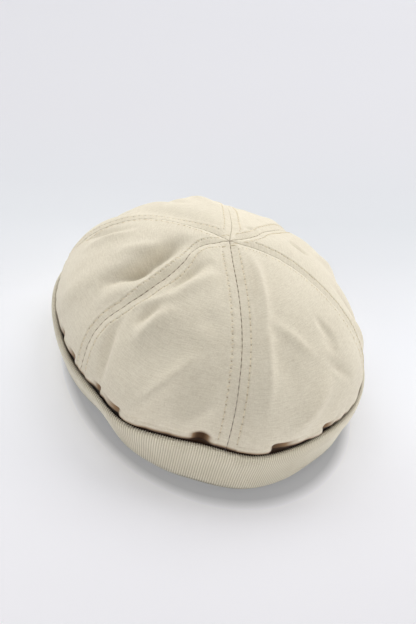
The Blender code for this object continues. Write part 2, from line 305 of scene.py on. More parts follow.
# Finishes: lengths in metres, noise scales to the metre
SPECULAR = 0.25
WEFT_SCALE = (190.0, 1450.0, 1.0)
WARP_SCALE = (1450.0, 260.0, 1.0)
FLECK_SCALE = 1250.0
BLOTCH_SCALE = 26.0
CLOTH_TONES = (0.7, 0.3, 0.5, 0.3)  # how much weft, warp, fleck and blotch change the colour
CLOTH_BUMPS = (0.6, 1.2, 0.6, 0.6)  # how much weave, weft, warp and fleck stand up
CLOTH_BUMP = 0.00012
JOINT_LINE = (0.00004, 0.00036)
JOINT_BEAT = (0.55, 0.45)
HOLE_EDGE = (0.4 * NEEDLE_HOLE, 1.4 * NEEDLE_HOLE)
HOLE_TINT = 0.85
DIMPLE = 2.6 * NEEDLE_HOLE
DIMPLE_DEPTH = 0.0004
DIMPLE_STRENGTH = 0.8
CREST_EDGE = (0.02, 0.55)
KNIT_BLOTCH_EDGE = (0.40, 0.80)
KNIT_BLOTCH_TINT = 0.25
LOOP_SLANT = 1.1
LOOP_TINT = 0.15
LOOP_BUMP = 0.7
YARN_TINT = 0.3
YARN_SCALE = 2600.0
KNIT_BLOTCH_SCALE = 60.0
KNIT_BUMP = 0.00016
THREAD_TONE_SCALE = 900.0
THREAD_TONE_EDGE = (0.35, 0.65)
THREAD_BUMP_SCALE = 4200.0
THREAD_BUMP = 0.0001

# Colours, linear
CANVAS_PALE = (0.845, 0.790, 0.650, 1.0)
CANVAS_DEEP = (0.560, 0.490, 0.370, 1.0)
SEAM_DARK = (0.200, 0.110, 0.055, 1.0)
HOLE_DARK = (0.380, 0.260, 0.150, 1.0)
# Painted shade: brown in the tucked edge, the pockets and the cuff's fold, with a warm fringe on the canvas
SHADE_BROWN = (0.065, 0.030, 0.011, 1.0)
PAINTED_FRINGE_SHADE = (0.270, 0.165, 0.085, 1.0)
# The knit's crests, and the grooves between them darker with painted shade; blotches and yarn also tend to
# the darker colour
KNIT_CREST = (0.880, 0.825, 0.675, 1.0)
KNIT_GROOVE_SHADE_AND_DARK_TONE = (0.600, 0.535, 0.400, 1.0)
THREAD_COLOUR = (0.830, 0.740, 0.560, 1.0)
THREAD_DEEP = (0.700, 0.600, 0.420, 1.0)
# Painted light: the floor glows though it is no lamp, and its glow also lights the cap
FLOOR_GLOW = 0.60
GLOW_COLOUR = (0.97, 0.98, 1.00, 1.0)
GLOW_NEAR = (0.372, 0.376, 0.383, 1.0)  # the floor glows less where the photograph shows it
GLOW_REACH = (0.9, 2.0)  # metres from the cap between the two
FLOOR_SIDES = 48
# The floor is flat far past the photograph's edges, then sweeps up out of its sight
FLOOR_SWEEP = (
    # radius, height in metres
    (3.5, 0.0),
    (4.0, 0.0),
    (5.0, 0.08),
    (5.6, 0.30),
    (5.9, 0.65),
    (6.0, 1.30),
)
# The floor's pale bluish colour with painted light and shade: brightest just before the cap's middle, a
# little darker to the front and much darker far behind
FLOOR_TINT_AND_PAINTED_SHADING = (
    # metres behind the cap's middle, colour
    (-0.225, (0.747, 0.732, 0.768, 1.0)),
    (-0.125, (0.770, 0.760, 0.796, 1.0)),
    (-0.025, (0.812, 0.819, 0.861, 1.0)),
    (0.025, (0.788, 0.800, 0.845, 1.0)),
    (0.075, (0.733, 0.742, 0.776, 1.0)),
    (0.125, (0.645, 0.658, 0.690, 1.0)),
    (0.175, (0.584, 0.601, 0.631, 1.0)),
    (0.225, (0.565, 0.575, 0.607, 1.0)),
    (0.325, (0.558, 0.554, 0.587, 1.0)),
    (0.525, (0.533, 0.529, 0.562, 1.0)),
)
CONTACT_SHADE = 0.35  # painted contact shadow: how dark the floor is where the hem touches it
CONTACT_REACH = 0.075  # as a share of the hem's own radius
CONTACT_FORWARD = 0.007  # the painted shadow leans to the front
CONTACT_RIGHT = 0.003  # and to the right
FLOOR_BEHIND = (-0.062, 1.083)  # how far behind the cap a metre to the right and a metre back are

# Soft lights round the cap
LIGHT_SIZE = 0.9
LIGHT_DISTANCE = 1.5
LIGHTS = (
    # azimuth, elevation, watts on the floor, watts on the cap
    (0, 89, 1.4, 0.0),
    (45, 55, 6.5, 0.0),
    (90, 55, 3.2, 15.8),
    (135, 55, 5.3, 0.0),
    (0, 25, 3.9, 9.3),
    (45, 25, 3.4, 6.8),
    (90, 25, 1.9, 0.3),
    (135, 25, 0.8, 8.6),
    (180, 25, 1.0, 1.2),
    (225, 25, 6.4, 1.4),
    (270, 25, 0.0, 8.2),
)

# Camera at the photograph's angle, in its frame of 416 by 624
FRAME_WIDTH = 416
FRAME_HEIGHT = 624
CAMERA_ELEVATION = 34.0
CAMERA_AZIMUTH = -19.5
CAMERA_ROLL = 13.8
CAMERA_DISTANCE = 0.80
CAMERA_FOCAL_PIXELS = 1410
CAMERA_SENSOR = 24.0
CAMERA_AIM = (215.2, 299.2)
AIM_HEIGHT = 0.05


def angle_between(first, second):
    """The signed turn from the second angle to the first, in degrees."""
    return (np.asarray(first, float) - second + 180.0) % 360.0 - 180.0


def smooth_curve(along, width, values, slopes, left, right):
    """A smooth curve between two of its places, at shares of the way from the left to the right one."""
    square = along * along
    cube = square * along
    return (
        (2 * cube - 3 * square + 1) * values[left]
        + (cube - 2 * square + along) * width * slopes[left]
        + (3 * square - 2 * cube) * values[right]
        + (cube - square) * width * slopes[right]
    )


def wave_sum(turn, rows):
    """Sine waves of named heights, counts and starts, added up."""
    return sum(height * np.sin(count * turn + start) for height, count, start in rows)


def outline_share(angle, column):
    """A column of the outline table at any angle, on a smooth closed curve."""
    angles = np.array([row[0] for row in OUTLINE], float)
    values = np.array([row[column] for row in OUTLINE], float)
    where = np.asarray(angle, float) % 360.0
    left = np.searchsorted(angles, where, side="right") - 1
    right = (left + 1) % len(angles)
    width = (angles[right] - angles[left]) % 360.0
    along = (where - angles[left]) / width
    apart = (np.roll(angles, -1) - np.roll(angles, 1)) % 360.0
    slopes = (np.roll(values, -1) - np.roll(values, 1)) / apart
    return smooth_curve(along, width, values, slopes, left, right)


def ellipse_radius(angle, half_width, half_length):
    turn = np.radians(angle)
    return 1.0 / np.hypot(np.cos(turn) / half_width, np.sin(turn) / half_length)


def turn_up_radius(angle, height):
    """Distance from the axis to the outer face of the turn-up."""
    top = ellipse_radius(angle, CUFF_HALF_WIDTH, CUFF_HALF_LENGTH) * outline_share(angle, TOP_SHARE)
    hem = ellipse_radius(angle, HEM_HALF_WIDTH, HEM_HALF_LENGTH) * outline_share(angle, HEM_SHARE)
    rise = np.clip(height / CUFF_HEIGHT, 0.0, 1.0) ** CUFF_FLARE_POWER
    return hem + (top - hem) * rise


def to_points(angle, radius, height):
    turn = np.radians(angle)
    return np.stack([radius * np.cos(turn), radius * np.sin(turn), height + 0.0 * turn], axis=-1)


def lengths_along(points):
    """Length along a line of points, up to each of them."""
    return np.concatenate([[0.0], np.cumsum(np.linalg.norm(np.diff(points, axis=0), axis=1))])


def outline_centre():
    """Middle of the cap's box in plan, which lies over the origin."""
    angles = np.arange(OUTLINE_STEPS) * 360.0 / OUTLINE_STEPS
    ring = to_points(angles, turn_up_radius(angles, CUFF_HEIGHT - KNIT / 2), 0.0)
    middle = (ring.max(axis=0) + ring.min(axis=0)) / 2
    middle[2] = 0.0
    return middle


CENTRE = outline_centre()


def seam_angle(name, down):
    """A seam's angle at a share of the way down the crown, on a smooth curve that is level at both ends."""
    places = np.array(SEAM_PLACES)
    values = np.array(SEAMS[name], float)
    slopes = np.zeros(len(places))
    slopes[1:-1] = (values[2:] - values[:-2]) / (places[2:] - places[:-2])
    where = np.clip(down, places[0], places[-1])
    left = np.clip(np.searchsorted(places, where, side="right") - 1, 0, len(places) - 2)
    width = places[left + 1] - places[left]
    along = (where - places[left]) / width
    return smooth_curve(along, width, values, slopes, left, left + 1)


def fold_lift(angle, way, radius):
    """How far the folds lift the cloth at a place."""
    total = np.zeros(np.broadcast(angle, way).shape)
    for start, start_way, end, end_way, width, height in FOLDS:
        along = np.clip((way - start_way) / (end_way - start_way), 0.0, 1.0)
        middle = start + (end - start) * along
        across = np.radians(angle_between(angle, middle)) * radius
        bell = np.exp(-((across / (width * FOLD_WIDTH)) ** 2))
        total += height * FOLD_HEIGHT * np.sin(np.pi * along) * bell
    return total


def crease_lift(points):
    """How far the creases lift the cloth, at points on the plain crown."""
    total = np.zeros(points.shape[:-1])
    for start, start_way, end, end_way, width, height in CREASES:
        ends = plain_crown(np.array([start, end]), np.array([start_way, end_way]))
        out = crown_normal(np.array([start, end]), np.array([start_way, end_way])).mean(axis=0)
        run = ends[1] - ends[0]
        beside = np.cross(run, out)
        beside /= np.linalg.norm(beside)
        along = np.clip((points - ends[0]) @ run / (run @ run), 0.0, 1.0)
        across = (points - ends[0]) @ beside / (width * MILLIMETRE)
        near = (points - ends.mean(axis=0)) @ out > -CREASE_FALL
        total += np.where(near, height * MILLIMETRE * np.sin(np.pi * along) * np.exp(-across * across), 0.0)
    return total


def pocket_depth(angle, way):
    """How far the pockets draw the cloth in near the lower edge."""
    total = np.zeros(np.broadcast(angle, way).shape)
    for middle, half_width, depth, reach, lean in POCKETS:
        across = angle_between(angle, middle) / half_width
        cut = across * lean < 0.0
        across = np.where(cut, across / LEAN_CUT, across)
        rise = np.clip((way - 1.0 + reach) / reach, 0.0, 1.0)
        total += depth * MILLIMETRE * rise * rise * np.exp(-across * across)
    return total


def edge_roll(angle, down):
    """How far the soft lower edge rolls out over the turn-up, down to where the fold takes it in."""
    uneven = 1.0 + wave_sum(np.radians(angle), ROLL_WAVES)
    ahead = np.exp(-((angle_between(angle, ROLL_FRONT) / ROLL_SPREAD) ** 2))
    front = ROLL_LEAST + (1.0 - ROLL_LEAST) * ahead
    return EDGE_ROLL * front * uneven * smooth_step(down, *ROLL_RISE) * (1.0 - smooth_step(down, *ROLL_FALL))


def gather_depth(angle, way):
    """How far the gathers draw the cloth in near the lower edge."""
    total = pocket_depth(angle, way)
    near_edge = np.clip((way - 1.0 + PLEAT_REACH) / PLEAT_REACH, 0.0, 1.0)
    turn = np.radians(angle)
    pleat = (0.5 - 0.5 * np.cos(PLEATS * turn + wave_sum(turn, PLEAT_DRIFT))) ** 2
    strength = PLEAT_LEVEL + wave_sum(turn, PLEAT_WAVES)
    return total + PLEAT_DEPTH * strength * pleat * near_edge * near_edge


def crown_radius(angle):
    """Distance from the axis to the widest line of the crown."""
    return turn_up_radius(angle, CUFF_HEIGHT) - KNIT + CROWN_OVERHANG


def turn_up_limit(angle, height):
    """The furthest from the axis that the canvas may reach beside the turn-up."""
    centre_height = CUFF_HEIGHT - KNIT / 2
    keep = KNIT / 2 + CROWN_CLEARANCE
    over = np.clip(height - centre_height, 0.0, keep)
    middle = turn_up_radius(angle, np.minimum(height, centre_height)) - KNIT / 2
    return np.where(height > centre_height + keep, np.inf, middle - np.sqrt(keep**2 - over**2))


def crown_section(angle, down):
    """Distance and height of the plain crown's outer face. Down is 0 at the top, 1 at the widest line and 2
    at the lower edge, which stands over the middle of the band."""
    angle, down = np.broadcast_arrays(np.asarray(angle, float), np.asarray(down, float))
    quarter = np.clip(down, 0.0, 1.0) * np.pi / 2
    power = 2.0 / CROWN_ROUNDNESS
    radius = crown_radius(angle) * np.sin(quarter) ** power
    height = WIDEST_HEIGHT + CROWN_RISE * np.clip(np.cos(quarter), 0.0, 1.0) ** power
    tuck = np.clip(down - 1.0, 0.0, 1.0)
    lower_edge = BAND_HEIGHT + 2 * SEAM_GAP
    tuck_height = WIDEST_HEIGHT + (lower_edge - WIDEST_HEIGHT) * tuck
    seat = turn_up_radius(angle, lower_edge) - KNIT - FOLD_GAP - (KNIT - CLOTH) / 2
    tuck_radius = np.minimum(
        turn_up_limit(angle, tuck_height),
        crown_radius(angle) + (seat - crown_radius(angle)) * tuck * tuck,
    )
    radius = np.where(down > 1.0, tuck_radius, radius)
    height = np.where(down > 1.0, tuck_height, height)
    return radius, height


def plain_crown(angle, down):
    return to_points(angle, *crown_section(angle, down))


def crown_normal(angle, down):
    """Outward direction of the plain crown, from short steps along and down it."""
    step = 0.01
    across = plain_crown(angle + step, down) - plain_crown(angle - step, down)
    above = plain_crown(angle, np.clip(down - step, step / 10, None))
    below = plain_crown(angle, np.clip(down + step, None, 2.0))
    normal = np.cross(below - above, across)
    return normal / np.linalg.norm(normal, axis=-1, keepdims=True)


def smooth_step(value, start, end):
    share = np.clip((value - start) / (end - start), 0.0, 1.0)
    return share * share * (3.0 - 2.0 * share)


def wrinkle_lift(points):
    """Small uneven swells of soft cloth, the same each run."""
    flat = points.reshape(-1, 3)
    total = np.zeros(len(flat))
    for size, height in WRINKLES:
        total += height * np.array([noise.noise(Vector(point / size)) for point in flat])
    return total.reshape(points.shape[:-1])


def seam_relief(to_seam, stitches):
    """The raised band over the seam allowance, the dent of its stitches and the rolled edge at the seam."""
    band = BAND_RISE * (1.0 - smooth_step(to_seam, BAND_EDGE, BAND_EDGE + BAND_FALL))
    dent = ROW_DENT * np.exp(-(((to_seam - STITCH_OFFSET) / ROW_DENT_WIDTH) ** 2))
    inside = np.clip(1.0 - to_seam / EDGE_ROUND, 0.0, 1.0)
    roll = EDGE_ROUND * (1.0 - np.sqrt(1.0 - inside * inside))
    sway = wave_sum(2 * np.pi * stitches, PUCKER_WAVES)
    pucker = PUCKER * sway * np.exp(-((to_seam / PUCKER_PLACE - 1.0) ** 2))
    return band - dent - roll + pucker


class Gore:
    """A gore of the crown between two seams, as a surface of metres across and shares of the way down."""

    def __init__(self, name, left, right, left_through, right_through):
        self.name = name
        self.seams = (left, right)
        self.through = (left_through, right_through)
        self.top = (2 / np.pi) * np.arcsin((APEX_OPENING / crown_radius(0.0)) ** (CROWN_ROUNDNESS / 2))
        self.ways = np.linspace(self.top, 2.0, WAY_STEPS)
        self.lengths = [self.edge_length(side) for side in (0, 1)]

    def sector(self, down):
        """The left seam's angle, the turn across the gore and the distance from the axis."""
        start = seam_angle(self.seams[0], down)
        turn = (seam_angle(self.seams[1], down) - start) % 360.0
        radius, _ = crown_section(start, down)
        return start, turn, radius

    def width(self, down):
        _, turn, radius = self.sector(down)
        return np.radians(turn) * radius

    def first_way(self, clear):
        """The place nearest the top where the gore is as wide as this."""
        ways = self.ways[self.ways <= 1.0]
        return ways[self.width(ways) >= clear][0]

    def edge_length(self, side):
        """Length along a seam down to each of the gore's ways."""
        return lengths_along(plain_crown(seam_angle(self.seams[side], self.ways), self.ways))

    def stitches(self, side, down):
        """How many stitches a seam has from the top to a place on the way down."""
        return np.interp(down, self.ways, self.lengths[side]) / STITCH_PITCH

    def surface(self, across, down):
        """Outer points and plain normals."""
        start, turn, radius = self.sector(down)
        width = np.radians(turn) * radius
        angle = start + np.degrees(across / radius)
        share = np.clip(across / width, 0.0, 1.0)
        to_seam = np.minimum(across, width - across)
        way = np.clip(down, 0.0, 1.0)
        below = np.clip(down - 1.0, 0.0, 1.0)
        plain = plain_crown(angle, down)
        puff = PANEL_PUFF * np.sin(np.pi * share) * np.sin(np.pi * way).clip(0.0) ** PUFF_POWER
        sunk = np.clip(way / SEAM_DIP_START, 0.0, 1.0)
        dip = SEAM_DIP * np.exp(-((to_seam / SEAM_DIP_WIDTH) ** 2)) * sunk
        stitches = np.where(share < 0.5, self.stitches(0, down), self.stitches(1, down))
        folds = fold_lift(angle, way, radius) + crease_lift(plain) + wrinkle_lift(plain)
        lift = (puff - dip + folds) * (1.0 - below) ** 2
        lift -= gather_depth(angle, way) * (1.0 - below * below)
        lift = np.where(down > LEVEL_FROM, np.minimum(lift, 0.0), lift)
        lift += seam_relief(to_seam, stitches) * (1.0 - below)
        lift += edge_roll(angle, down) * (1.0 - smooth_step(pocket_depth(angle, way), *ROLL_STOPS))
        normal = crown_normal(angle, down)
        return plain + normal * lift[..., None] - CENTRE, normal

    def rows(self):
        upper = np.linspace(0.0, EDGE_FROM, UPPER_ROWS + 1)[:-1]
        edge = np.linspace(EDGE_FROM, 1.0, EDGE_ROWS + 1)[:-1]
        roll = np.linspace(1.0, ROLL_TO, ROLL_ROWS + 1)[:-1]
        tuck = np.linspace(ROLL_TO, 2.0, TUCK_ROWS + 1)
        rows = np.concatenate([upper, edge, roll, tuck])
        rows[0] = self.top
        return rows

    def grid(self):
        """Places across and down for the mesh, close together beside the seams."""
        rows = self.rows()
        width = self.width(rows)
        near = np.array(SEAM_COLUMNS) * MILLIMETRE
        squeeze = np.minimum(1.0, width / (STRIPS_WIDE * near[-1]))
        left = squeeze[:, None] * near
        inner = np.linspace(0.0, 1.0, MIDDLE_COLUMNS + 2)[1:-1]
        first = left[:, -1:]
        middle = first + (width[:, None] - 2 * first) * inner
        across = np.concatenate([left, middle, width[:, None] - left[:, ::-1]], axis=1)
        margin = SEAM_GAP / 2
        across = margin + across * (width[:, None] - 2 * margin) / width[:, None]
        return across, np.broadcast_to(rows[:, None], across.shape)


def rounded_mesh(name, points, faces, maps, shades=None):
    """A smooth object from points and faces, with named UV maps given a pair for each point and named shades
    given a number for each point."""
    mesh = bpy.data.meshes.new(name)
    mesh.from_pydata(points.tolist(), [], faces)
    corners = np.empty(len(mesh.loops), np.int32)
    mesh.loops.foreach_get("vertex_index", corners)
    for label, pairs in maps.items():
        layer = mesh.uv_layers.new(name=label)
        layer.data.foreach_set("uv", pairs[corners].astype(np.float32).ravel())
    for label, values in (shades or {}).items():
        attribute = mesh.attributes.new(label, "FLOAT", "POINT")
        attribute.data.foreach_set("value", np.asarray(values, np.float32).ravel())
    mesh.shade_smooth()
    made = bpy.data.objects.new(name, mesh)
    bpy.context.scene.collection.objects.link(made)
    return made


def closed_sheet(outer_shape):
    """Quads of a closed sheet: its outer face, its inner face and the rim round them."""
    rows, columns = outer_shape
    count = rows * columns
    index = np.arange(count).reshape(rows, columns)
    quads = np.stack([index[:-1, :-1], index[1:, :-1], index[1:, 1:], index[:-1, 1:]], axis=-1).reshape(-1, 4)
    rim = np.concatenate([index[0], index[1:, -1], index[-1, -2::-1], index[-2:0:-1, 0]])
    ahead = np.roll(rim, -1)
    side = np.stack([rim, ahead, ahead + count, rim + count], axis=-1)
    return np.concatenate([quads, quads[:, ::-1] + count, side]).tolist()


def sew_gore(gore, finish):
    """A gore's canvas as a closed sheet, with its cloth and its rows of stitches mapped on it."""
    across, down = gore.grid()
    outer, normal = gore.surface(across, down)
    inner = outer - normal * CLOTH
    width = gore.width(down)
    rows = gore.rows()
    fall = lengths_along(plain_crown(seam_angle(gore.seams[0], rows), rows))
    cloth = np.stack([across - width / 2, np.broadcast_to(fall[:, None], across.shape)], axis=-1)
    nearer_left = across < width / 2
    off_row = np.where(nearer_left, across, width - across) - STITCH_OFFSET
    stitches = np.where(nearer_left, gore.stitches(0, down), gore.stitches(1, down))
    stitched = np.stack([off_row, stitches], axis=-1)
    maps = {
        "cloth": np.concatenate([cloth.reshape(-1, 2)] * 2),
        "stitched": np.concatenate([stitched.reshape(-1, 2)] * 2),
    }
    start, _, radius = gore.sector(down)
    pocket = pocket_depth(start + np.degrees(across / radius), np.minimum(down, 1.0))
    # Painted shade over the tucked edge and in the pockets
    painted_shade = np.maximum(smooth_step(down, *TUCK_SHADE), smooth_step(pocket, *POCKET_SHADE))
    shows = [SEAM_SHOWS[name] for name in gore.seams]
    joint = np.where(nearer_left, shows[0], shows[1])
    shades = {"painted_shade": np.concatenate([painted_shade, painted_shade]), "joint": np.concatenate([joint, joint])}
    points = np.concatenate([outer.reshape(-1, 3), inner.reshape(-1, 3)])
    made = rounded_mesh("canvas_" + gore.name, points, closed_sheet(across.shape), maps, shades)
    made.data.materials.append(finish)
    flat_width = float(width.max())
    flat_length = float(fall[-1])
    steps = np.diff(fall)
    flat_area = float((steps * (width[1:, 0] + width[:-1, 0]) / 2).sum())
    return made, (flat_width, flat_length), flat_area


def ring_angles():
    """Angles of the cuff's columns, with the ribs evenly spaced along the knit."""
    fine = np.linspace(0.0, 360.0, 3601)
    length = lengths_along(to_points(fine, turn_up_radius(fine, CUFF_HEIGHT * RIBS_EVEN_AT), 0.0))
    ribs = (np.arange(RIB_COUNT)[:, None] + np.array(RIB_COLUMNS)).ravel()
    return np.interp(ribs / RIB_COUNT * length[-1], length, fine), ribs


def cuff_section(angle):
    """The cuff's closed section as rows round the cap, each a radius, a height, a rib depth and a painted
    shade: up the outer face, over the top, down into the fold, over the band inside and round the hem."""
    half = KNIT / 2
    top = CUFF_HEIGHT - half
    wall = KNIT + FOLD_GAP
    band = BAND_HEIGHT - half
    rows = []

    def add(inset, height, depth, along=None, painted_shade=0.0):
        """A row this far in from the outer face, taken at its own height or at another one."""
        radius = turn_up_radius(angle, height if along is None else along) - inset
        rows.append((radius, np.full_like(radius, height), depth, painted_shade))

    for share in np.linspace(0.0, 1.0, FACE_ROWS)[:-1]:
        height = HEM_ROUND + (top - HEM_ROUND) * share
        swell = SHOULDER_SWELL * np.exp(-(((top - height - SHOULDER_DROP) / SHOULDER_DROP) ** 2))
        full = smooth_step(share, 0.0, RIBS_FULL_FROM)
        depth = RIB_DEPTH + (RIB_DEPTH_AT_TOP - RIB_DEPTH) * smooth_step(share, RIBS_DEEPER_FROM, 1.0)
        add(-swell * full, height, depth * (RIBS_AT_HEM + (1.0 - RIBS_AT_HEM) * full))
    for turn in np.radians(np.linspace(0, 180, TOP_ROWS)):
        add(half - half * np.cos(turn), top + half * np.sin(turn), RIB_DEPTH_AT_TOP, top)
    # Painted shade darkens the knit inside the fold
    add(KNIT, top - FOLD_SHADE / 2, RIB_DEPTH, painted_shade=FOLD_EDGE_SHADE)
    for height in np.linspace(top - FOLD_SHADE, FOLD_FLOOR, INNER_ROWS)[:-1]:
        add(KNIT, height, RIB_DEPTH, painted_shade=1.0)
    add(KNIT, FOLD_FLOOR, 0.0, painted_shade=1.0)
    add(wall, FOLD_FLOOR, 0.0, painted_shade=1.0)
    for height in np.linspace(FOLD_FLOOR, band, INNER_ROWS)[1:-1]:
        add(wall, height, RIB_DEPTH, painted_shade=1.0)
    # Painted shade fades over the band's top, from the fold to the inside
    for turn in np.radians(np.linspace(0, 180, BAND_TOP_ROWS)):
        outside = 0.5 + 0.5 * np.cos(turn)
        add(wall + half - half * np.cos(turn), band + half * np.sin(turn), RIB_DEPTH, band, outside)
    for height in np.linspace(band, FOLD_FLOOR, INNER_ROWS)[1:]:
        add(wall + KNIT, height, RIB_DEPTH)
    add(wall + KNIT, HEM_ROUND, 0.0, 0.0)
    for turn in np.radians(HEM_TURNS):
        add(wall + KNIT - HEM_ROUND * (1 - np.cos(turn)), HEM_ROUND * (1 - np.sin(turn)), 0.0, 0.0)
    add(wall + KNIT - HEM_ROUND, 0.0, 0.0)
    add(HEM_ROUND, 0.0, 0.0)
    for turn in np.radians(HEM_TURNS[::-1]):
        add(HEM_ROUND * (1 - np.cos(turn)), HEM_ROUND * (1 - np.sin(turn)), 0.0, 0.0)
    return rows


def knit_ring():
    """The cuff before its ribs are cut: one closed ring, with the ribs counted round it and each point's rib
    depth kept on it."""
    angle, ribs = ring_angles()
    section = cuff_section(angle)
    points = np.stack([to_points(angle, radius, height) - CENTRE for radius, height, *_ in section])
    around, columns = points.shape[:2]
    index = np.arange(around * columns).reshape(around, columns)
    after = np.roll(index, -1, axis=0)
    quads = np.stack([index, np.roll(index, -1, axis=1), np.roll(after, -1, axis=1), after], axis=-1)
    climb = lengths_along(points[:, 0])
    knit = np.stack(np.broadcast_arrays(ribs[None, :], climb[:, None]), axis=-1)
    shape = (around, columns)
    shades = {
        "rib_depth": np.broadcast_to(np.array([row[2] for row in section])[:, None], shape),
        "rib_place": np.broadcast_to(ribs[None, :], shape),
        "painted_shade": np.broadcast_to(np.array([row[3] for row in section])[:, None], shape),
    }
    faces = quads.reshape(-1, 4).tolist()
    return rounded_mesh("rib_knit_cuff", points.reshape(-1, 3), faces, {"knit": knit.reshape(-1, 2)}, shades)


def feed(tree, socket, value):
    """Gives a socket a value or a link."""
    if isinstance(value, Value):
        value = value.socket
    if isinstance(value, bpy.types.NodeSocket):
        tree.links.new(value, socket)
    else:
        socket.default_value = value


def add_node(tree, kind, settings=None, sockets=None):
    """A node with its settings, and the values or links of its sockets."""
    made = tree.nodes.new(kind)
    for key, value in (settings or {}).items():
        setattr(made, key, value)
    for key, value in (sockets or {}).items():
        feed(tree, made.inputs[key], value)
    return made


class NodeTree:
    """A geometry tree under construction: named inputs, and nodes made from a type, settings and sockets."""

    def __init__(self, name):
        self.tree = bpy.data.node_groups.new(name, "GeometryNodeTree")
        self.tree.interface.new_socket("Geometry", in_out="INPUT", socket_type="NodeSocketGeometry")
        self.tree.interface.new_socket("Geometry", in_out="OUTPUT", socket_type="NodeSocketGeometry")
        self.entry = self.tree.nodes.new("NodeGroupInput")
        self.exit = self.tree.nodes.new("NodeGroupOutput")

    def input(self, name, kind, value=None):
        """A named input of the tree and its socket."""
        made = self.tree.interface.new_socket(name, in_out="INPUT", socket_type=kind)
        if value is not None:
            made.default_value = value
        return self.entry.outputs[name]

    def node(self, kind, settings=None, sockets=None):
        return add_node(self.tree, kind, settings, sockets)

    def math(self, operation, *values):
        return self.node("ShaderNodeMath", {"operation": operation}, dict(enumerate(values))).outputs[0]

    def point(self, **sockets):
        return self.node("ShaderNodeCombineXYZ", sockets=sockets).outputs[0]

    def attribute(self, name, kind="FLOAT"):
        made = self.node("GeometryNodeInputNamedAttribute", {"data_type": kind}, {"Name": name})
        return made.outputs["Attribute"]

    def finish(self, geometry, material):
        """Ends the tree: the geometry is made real and gets its material."""
        real = self.node("GeometryNodeRealizeInstances", sockets={"Geometry": geometry})
        smooth = self.node("GeometryNodeSetShadeSmooth", sockets={"Geometry": real.outputs["Geometry"]})
        sockets = {"Geometry": smooth.outputs["Geometry"], "Material": material}
        painted = self.node("GeometryNodeSetMaterial", sockets=sockets)
        self.tree.links.new(painted.outputs["Geometry"], self.exit.inputs["Geometry"])
        return self.tree


def rib_tree():
    """Cuts the grooves between the knit's ribs: each point sinks along its normal by its own rib depth."""
    tree = NodeTree("rib grooves")
    material = tree.input("Knit", "NodeSocketMaterial")
    narrow = tree.input("Groove narrowness", "NodeSocketFloat", GROOVE_NARROWNESS)
    wave = tree.math("COSINE", tree.math("MULTIPLY", tree.attribute("rib_place"), np.pi))
    groove = tree.math("POWER", tree.math("ABSOLUTE", wave), narrow)
    sink = tree.math("MULTIPLY", tree.math("MULTIPLY", groove, tree.attribute("rib_depth")), -1.0)
    normal = tree.node("GeometryNodeInputNormal").outputs["Normal"]
    offset = tree.node("ShaderNodeVectorMath", {"operation": "SCALE"}, {"Vector": normal, "Scale": sink})
    moved = tree.node(
        "GeometryNodeSetPosition",
        sockets={"Geometry": tree.entry.outputs["Geometry"], "Offset": offset.outputs["Vector"]},
    )
    return tree.finish(moved.outputs["Geometry"], material)


def stitch_tree():
    """Lays a bowed stitch of thread on each point, turned along its row and standing off the cloth."""
    tree = NodeTree("topstitches")
    material = tree.input("Thread", "NodeSocketMaterial")
    length = tree.input("Stitch length", "NodeSocketFloat", STITCH_LENGTH)
    thread = tree.input("Thread width", "NodeSocketFloat", THREAD)
    rise = tree.input("Rise", "NodeSocketFloat", STITCH_RISE)
    dip = tree.input("Dip", "NodeSocketFloat", STITCH_DIP)
    low = tree.math("MULTIPLY", dip, -1.0)
    bow = tree.node(
        "GeometryNodeCurveQuadraticBezier",
        sockets={
            "Resolution": STITCH_STEPS,
            "Start": tree.point(X=tree.math("MULTIPLY", length, -0.5), Z=low),
            "Middle": tree.point(Z=tree.math("MULTIPLY_ADD", rise, 2.0, dip)),
            "End": tree.point(X=tree.math("MULTIPLY", length, 0.5), Z=low),
        },
    )
    radius = tree.math("MULTIPLY", thread, 0.5)
    sockets = {"Resolution": THREAD_SIDES, "Radius": radius}
    profile = tree.node("GeometryNodeCurvePrimitiveCircle", sockets=sockets)
    shape = tree.node(
        "GeometryNodeCurveToMesh",
        sockets={"Curve": bow.outputs["Curve"], "Profile Curve": profile.outputs["Curve"], "Fill Caps": True},
    )
    turn = tree.node(
        "FunctionNodeAxesToRotation",
        {"primary_axis": "X", "secondary_axis": "Z"},
        {
            "Primary Axis": tree.attribute("along", "FLOAT_VECTOR"),
            "Secondary Axis": tree.attribute("up", "FLOAT_VECTOR"),
        },
    )
    placed = tree.node(
        "GeometryNodeInstanceOnPoints",
        sockets={
            "Points": tree.entry.outputs["Geometry"],
            "Instance": shape.outputs["Mesh"],
            "Rotation": turn.outputs["Rotation"],
        },
    )
    return tree.finish(placed.outputs["Instances"], material)


def grown(source, tree, inputs, name):
    """The plain mesh that a geometry tree makes from an object, which it replaces."""
    modifier = source.modifiers.new("grow", "NODES")
    modifier.node_group = tree
    sockets = {item.name: item.identifier for item in tree.interface.items_tree if item.in_out == "INPUT"}
    for label, value in inputs.items():
        modifier[sockets[label]] = value
    source.update_tag()
    graph = bpy.context.evaluated_depsgraph_get()
    mesh = bpy.data.meshes.new_from_object(source.evaluated_get(graph), depsgraph=graph)
    source.modifiers.remove(modifier)
    bpy.data.objects.remove(source)
    mesh.name = name
    made = bpy.data.objects.new(name, mesh)
    bpy.context.scene.collection.objects.link(made)
    return made


def row_points(gore, side):
    """Stitch places along a row, with the directions along it and off the cloth."""
    start = gore.first_way(ROW_CLEAR_THROUGH if gore.through[side] else ROW_CLEAR)
    first = int(np.ceil(gore.stitches(side, start)))
    last = int(np.floor(gore.stitches(side, ROW_END)))
    middles = np.arange(first, last) + 0.5
    down = np.interp(middles * STITCH_PITCH, gore.lengths[side], gore.ways)
    across = np.full_like(down, STITCH_OFFSET) if side == 0 else gore.width(down) - STITCH_OFFSET
    return surface_places(gore, across, down)


